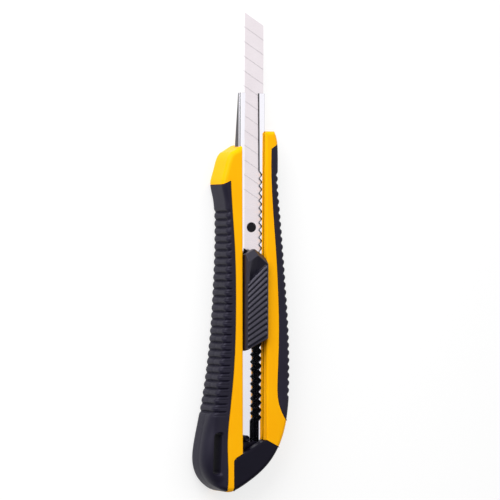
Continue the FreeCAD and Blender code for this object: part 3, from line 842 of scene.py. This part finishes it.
def brushed_steel(name, tone, darker, rough, along, scratch, shade, recesses, edges=None, bevel_highlight=None):
    """Brushed steel: fine lines along one axis, a slow drift of tone, painted shade in its recesses, and,
    where given, a painted dark reflection on steep walls and cut edges and a painted highlight on bevels."""
    n = Nodes(name)
    stretch = tuple(0.02 if axis == along else 1.0 for axis in range(3))
    lines = n.noise(FINE_GRAIN, 2.0, stretch)
    colour = n.mix(n.ramp(n.noise(120.0, 2.0), 0.0, 1.0, 0.3, 0.7), tone, darker)
    # Painted highlight: faces leaning across X, the blade's bevel, take a lighter colour.
    if bevel_highlight is not None:
        colour = n.mix(n.lean("X", 0.03, 0.08), colour, bevel_highlight)
    # Painted dark reflection: steep walls and cut edges take the dark edges colour.
    if edges is not None:
        colour = n.mix(n.lean("Z", 0.05, 0.35), edges, colour)
    # Painted shade: recesses found by an occlusion mask take the dark shade colour.
    for reach, start, end in recesses:
        colour = n.mix(n.cavity(reach, start, end), shade, colour)
    n.set(
        Base_Color=colour,
        Metallic=1.0,
        Roughness=n.ramp(lines, rough - 0.04, rough + 0.05, 0.3, 0.7),
        Normal=n.bump(lines, scratch))
    return n.material


YELLOW = moulded_plastic(
    "yellow_shell_plastic", (1.0, 0.465, 0.0006, 1), (1.0, 0.44, 0.0004, 1),
    rough=0.33, grain=0.000003, shine=0.05, sheen=PLAIN_SHEEN)
# Rubber: painted shade in its rib grooves.
RUBBER = moulded_plastic(
    "soft_grip_rubber", (0.0105, 0.009, 0.020, 1), (0.0075, 0.0065, 0.015, 1),
    rough=0.46, grain=0.000006, shine=0.27, grooves=RIB_GROOVE_SHADE)
CAP_PLASTIC = moulded_plastic(
    "cap_plastic", (0.005, 0.0042, 0.011, 1), (0.004, 0.0034, 0.009, 1),
    rough=0.34, grain=0.000003, shine=0.14)
BUTTON_PLASTIC = moulded_plastic(
    "button_plastic", (0.0075, 0.007, 0.014, 1), (0.006, 0.0055, 0.012, 1),
    rough=0.33, grain=0.000003, shine=0.66)
CARRIER_PLASTIC = moulded_plastic(
    "carrier_plastic", (0.004, 0.0035, 0.005, 1), (0.003, 0.0028, 0.004, 1),
    rough=0.4, grain=0.000003, shine=0.2)
# Channel steel: painted shade in its recesses and a painted dark reflection on its steep walls and cut edges.
CHANNEL_STEEL = brushed_steel(
    "channel_steel", (0.88, 0.87, 0.93, 1), (0.85, 0.84, 0.90, 1), rough=0.08, along=1, scratch=0.000001,
    shade=(0.008, 0.006, 0.008, 1), recesses=[(0.0025, 0.25, 0.6), (0.0005, 0.3, 0.8)],
    edges=(0.10, 0.10, 0.11, 1))
# Blade steel: painted shade along its narrow recesses and a painted highlight on its bevel.
BLADE_STEEL = brushed_steel(
    "blade_steel", (0.85, 0.785, 0.82, 1), (0.82, 0.755, 0.79, 1), rough=0.3, along=0, scratch=0.000003,
    shade=(0.15, 0.13, 0.15, 1), recesses=[(0.0004, 0.3, 0.8)], bevel_highlight=(0.99, 0.97, 0.99, 1))
# Pawl and leaf steel: painted shade in their recesses.
PAWL_STEEL = brushed_steel(
    "pawl_steel", (0.62, 0.62, 0.64, 1), (0.56, 0.56, 0.58, 1), rough=0.3, along=1, scratch=0.000004,
    shade=(0.05, 0.05, 0.06, 1), recesses=[(0.0006, 0.3, 0.8)])
LEAF_STEEL = brushed_steel(
    "leaf_steel", (0.5, 0.5, 0.52, 1), (0.42, 0.42, 0.45, 1), rough=0.28, along=1, scratch=0.000004,
    shade=(0.05, 0.05, 0.06, 1), recesses=[(0.0006, 0.3, 0.8)])


# ---------------------------------------------------------------- pieces on their bodies

def finish(obj, material):
    """Gives every face of an object one material."""
    data = obj.data
    if not data.materials:
        data.materials.append(material)
    for index in range(len(data.materials)):
        data.materials[index] = material


def piece(obj, body, material, replaces=()):
    """Gives a new piece its material and its body, and hides the CAD nodes it stands for."""
    finish(obj, material)
    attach(obj, body)
    if replaces:
        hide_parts(*replaces)
    return obj


for node_name, material in (
        ("housing", YELLOW), ("blade_channel", CHANNEL_STEEL), ("snap_off_blade", BLADE_STEEL),
        ("blade_carrier", CARRIER_PLASTIC), ("lock_pawl", PAWL_STEEL)):
    finish(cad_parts[node_name], material)

grip = cut_away(finger_grip(), lanyard_cutter())
piece(grip, "handle", RUBBER, ["finger_grip"])
piece(palm_grip(), "handle", RUBBER, ["palm_grip"])

cap = cut_away(end_cap(), block("room", CAP_ROOM, 0.0))
piece(cap, "cap", CAP_PLASTIC, ["end_cap"])
piece(block("end_cap_tongue", TONGUE, 0.3), "cap", CAP_PLASTIC)
piece(turned("end_cap_nub", NUB_CENTRE, NUB_PROFILE), "cap", CAP_PLASTIC)
piece(block("end_cap_stalk", STALK, 0.2), "cap", CAP_PLASTIC)

spring = piece(leaf_spring(), "carriage", LEAF_STEEL, ["lock_spring"])
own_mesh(spring)

piece(slider_button(), "lock_button", BUTTON_PLASTIC, ["slider_button"])
for number, y in enumerate(POST_Y):
    post = block("button_post_%d" % (number + 1), (POST_X, (y - POST_HALF, y + POST_HALF), POST_Z), 0.15)
    piece(post, "lock_button", BUTTON_PLASTIC)
piece(block("button_pawl_pad", PAWL_PAD, 0.1), "lock_button", BUTTON_PLASTIC)

# ---------------------------------------------------------------- floor, light and camera

FLOOR_HALF = 3.0
FLOOR_GAP = 0.0001
floor_z = float(ORIGIN[2]) - FLOOR_GAP
corners = [(x * FLOOR_HALF, y * FLOOR_HALF, floor_z) for x, y in ((-1, -1), (1, -1), (1, 1), (-1, 1))]
floor_mesh = bpy.data.meshes.new("floor")
floor_mesh.from_pydata(corners, [], [(0, 1, 2, 3)])
floor = bpy.data.objects.new("floor", floor_mesh)
bpy.context.scene.collection.objects.link(floor)
light_table = Nodes("light_table")
light_table.set(
    Base_Color=(0.36, 0.36, 0.36, 1),
    Roughness=0.9,
    Specular_IOR_Level=0.1,
    Emission_Color=(1.0, 1.0, 1.0, 1),
    Emission_Strength=0.68)
floor_mesh.materials.append(light_table.material)

VIEW_TILT = math.radians(30.0)
VIEW_ROLL = math.radians(0.195)
VIEW_CENTRE = (0.0, 82.08, 9.4)
VIEW_OFFSET = -0.70
FRAME_SPAN = 0.1696
LENS = 200.0
SENSOR = 36.0

right = Vector((math.cos(VIEW_TILT), 0.0, math.sin(VIEW_TILT)))
back = Vector((-math.sin(VIEW_TILT), 0.0, math.cos(VIEW_TILT)))
along = Vector((0.0, 1.0, 0.0))

UPWARDS = (0.0, 0.0, 1.0)
HEELWARDS = (0.0, -1.0, 0.0)
SKY_LOW, SKY_HIGH, SKY_FULL = 0.25, 1.12, 0.5
ZENITH_GAIN, ZENITH_CONE = 1.3, math.radians(26.0)
LENS_SHADE, LENS_CONES = 0.04, (math.radians(30.0), math.radians(12.0))
HEEL_SHADE, HEEL_RANGE = 0.15, (-0.1, 0.4)


class Tent:
    """Light tent: bright overhead, dimmer towards the horizon, the heel end and round the lens."""

    def __init__(self):
        world = bpy.data.worlds.new("light_tent")
        bpy.context.scene.world = world
        world.use_nodes = True
        self.tree = world.node_tree
        self.direction = self.tree.nodes.new("ShaderNodeTexCoord").outputs["Generated"]
        background = self.tree.nodes["Background"]
        background.inputs["Color"].default_value = (1.0, 1.0, 1.0, 1)
        overhead = self.fade(UPWARDS, 0.0, SKY_FULL, SKY_LOW, SKY_HIGH)
        lens = self.fade(back, math.cos(LENS_CONES[0]), math.cos(LENS_CONES[1]), 1.0, LENS_SHADE)
        heel_end = self.fade(HEELWARDS, *HEEL_RANGE, 1.0, HEEL_SHADE)
        zenith = self.fade(UPWARDS, math.cos(ZENITH_CONE), 1.0, 1.0, ZENITH_GAIN)
        strength = self.times(self.times(overhead, lens), self.times(heel_end, zenith))
        self.tree.links.new(strength, background.inputs["Strength"])

    def times(self, first, second):
        product = self.tree.nodes.new("ShaderNodeMath")
        product.operation = "MULTIPLY"
        self.tree.links.new(first, product.inputs[0])
        self.tree.links.new(second, product.inputs[1])
        return product.outputs["Value"]

    def fade(self, towards, start, end, low, high):
        """Brightness that changes smoothly with the cosine of the angle to one direction."""
        cosine = self.tree.nodes.new("ShaderNodeVectorMath")
        cosine.operation = "DOT_PRODUCT"
        cosine.inputs[1].default_value = towards
        self.tree.links.new(self.direction, cosine.inputs[0])
        fade = self.tree.nodes.new("ShaderNodeMapRange")
        fade.interpolation_type = "SMOOTHSTEP"
        for key, number in (("From Min", start), ("From Max", end), ("To Min", low), ("To Max", high)):
            fade.inputs[key].default_value = number
        self.tree.links.new(cosine.outputs["Value"], fade.inputs["Value"])
        return fade.outputs["Result"]


Tent()
view_settings = bpy.context.scene.view_settings
view_settings.view_transform = "Standard"
view_settings.look = "None"
view_settings.exposure = 0.0
view_settings.gamma = 1.0

# Square soft light that shines at the knife's middle.
KEY_AIM = (0.0, 82.0, 6.0)
KEY_DIRECTION = (-0.6, 0.6, 0.5)
KEY_DISTANCE = 0.42
KEY_SIZE = 0.35
KEY_POWER = 1.75

key_data = bpy.data.lights.new("key", "AREA")
key_data.shape = "SQUARE"
key_data.size = KEY_SIZE
key_data.energy = KEY_POWER
key = bpy.data.objects.new("key", key_data)
key_offset = Vector(KEY_DIRECTION).normalized() * KEY_DISTANCE
key.location = place(*KEY_AIM) + key_offset
key.rotation_euler = (-key_offset).to_track_quat("-Z", "Y").to_euler()
bpy.context.scene.collection.objects.link(key)

rolled_right = right * math.cos(VIEW_ROLL) + along * math.sin(VIEW_ROLL)
rolled_up = along * math.cos(VIEW_ROLL) - right * math.sin(VIEW_ROLL)
target = place(*VIEW_CENTRE) + right * VIEW_OFFSET * MM
camera_data = bpy.data.cameras.new("camera")
camera_data.lens = LENS
camera_data.sensor_width = SENSOR
camera = bpy.data.objects.new("camera", camera_data)
eye = target + back * (FRAME_SPAN * LENS / SENSOR)
turn = Matrix((rolled_right, rolled_up, back)).transposed().to_4x4()
camera.matrix_world = Matrix.Translation(eye) @ turn
bpy.context.scene.collection.objects.link(camera)
bpy.context.scene.camera = camera
